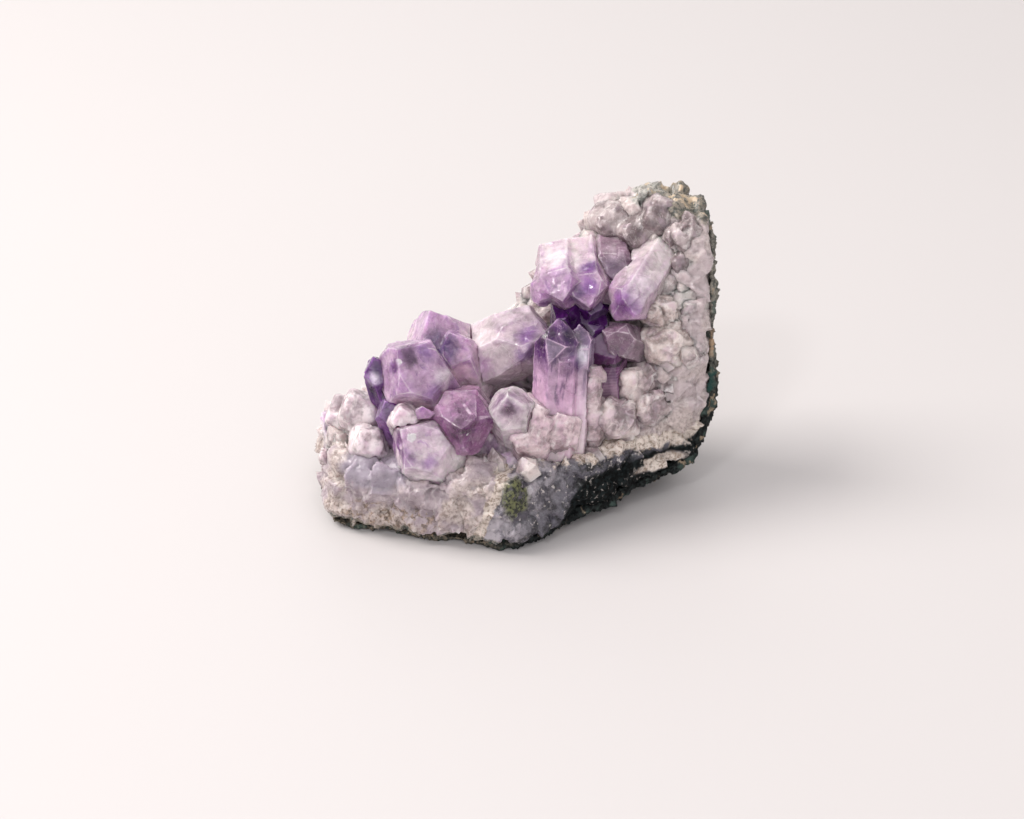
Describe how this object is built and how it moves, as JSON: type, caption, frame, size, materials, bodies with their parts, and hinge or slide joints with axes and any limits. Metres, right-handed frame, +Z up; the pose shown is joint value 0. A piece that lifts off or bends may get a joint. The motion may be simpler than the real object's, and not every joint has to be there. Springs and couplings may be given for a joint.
{
  "type": "amethyst cluster",
  "caption": "Broken piece of geode wall with violet amethyst points and milky quartz on an L-shaped base, with a dark lava crust on its underside and back.",
  "frame": {"origin": "on the surface that the piece rests on, under the middle of its bounding box", "axes": "+Z up, +X towards the tall end with the crusted right side, -Y towards the side that the crystals face"},
  "size_m": [0.0768, 0.047, 0.0559],
  "materials": {
    "amethyst": "glassy violet quartz, deep at the tips and paler towards the roots, with milky veils and small fractures",
    "amethyst_deep": "glassy dark violet quartz with smoky grey zones",
    "amethyst_pale": "glassy pale lilac quartz, cloudy inside",
    "quartz": "glassy to cloudy white quartz with a lilac tint",
    "quartz_matrix": "sugary broken quartz with cream and blue-grey agate bands",
    "lava_crust": "dull dark green-black weathered basalt skin with beige and green specks"
  },
  "bodies": {
    "root": {"amethyst_left_twins": "amethyst", "amethyst_far_left": "amethyst_deep", "amethyst_front_pale": "amethyst_pale", "amethyst_front_facing": "amethyst", "amethyst_long": "amethyst_pale", "amethyst_centre_column": "amethyst", "amethyst_striped": "amethyst_deep", "quartz_window_point": "quartz", "quartz_centre_stubs": "quartz", "quartz_sliver": "quartz", "amethyst_upper_pair": "amethyst", "amethyst_upper_dark": "amethyst_deep", "amethyst_upper_bright": "amethyst", "amethyst_recess": "amethyst_deep", "amethyst_lower_right": "amethyst_pale", "quartz_right_points": "quartz", "quartz_lower_points": "quartz", "quartz_top_points": "quartz", "quartz_edge_points": "quartz", "quartz_left_points": "quartz", "quartz_bud": "quartz", "amethyst_bud": "amethyst_deep", "quartz_wall": "quartz_matrix", "lava_crust": "lava_crust"}
  },
  "joints": []
}
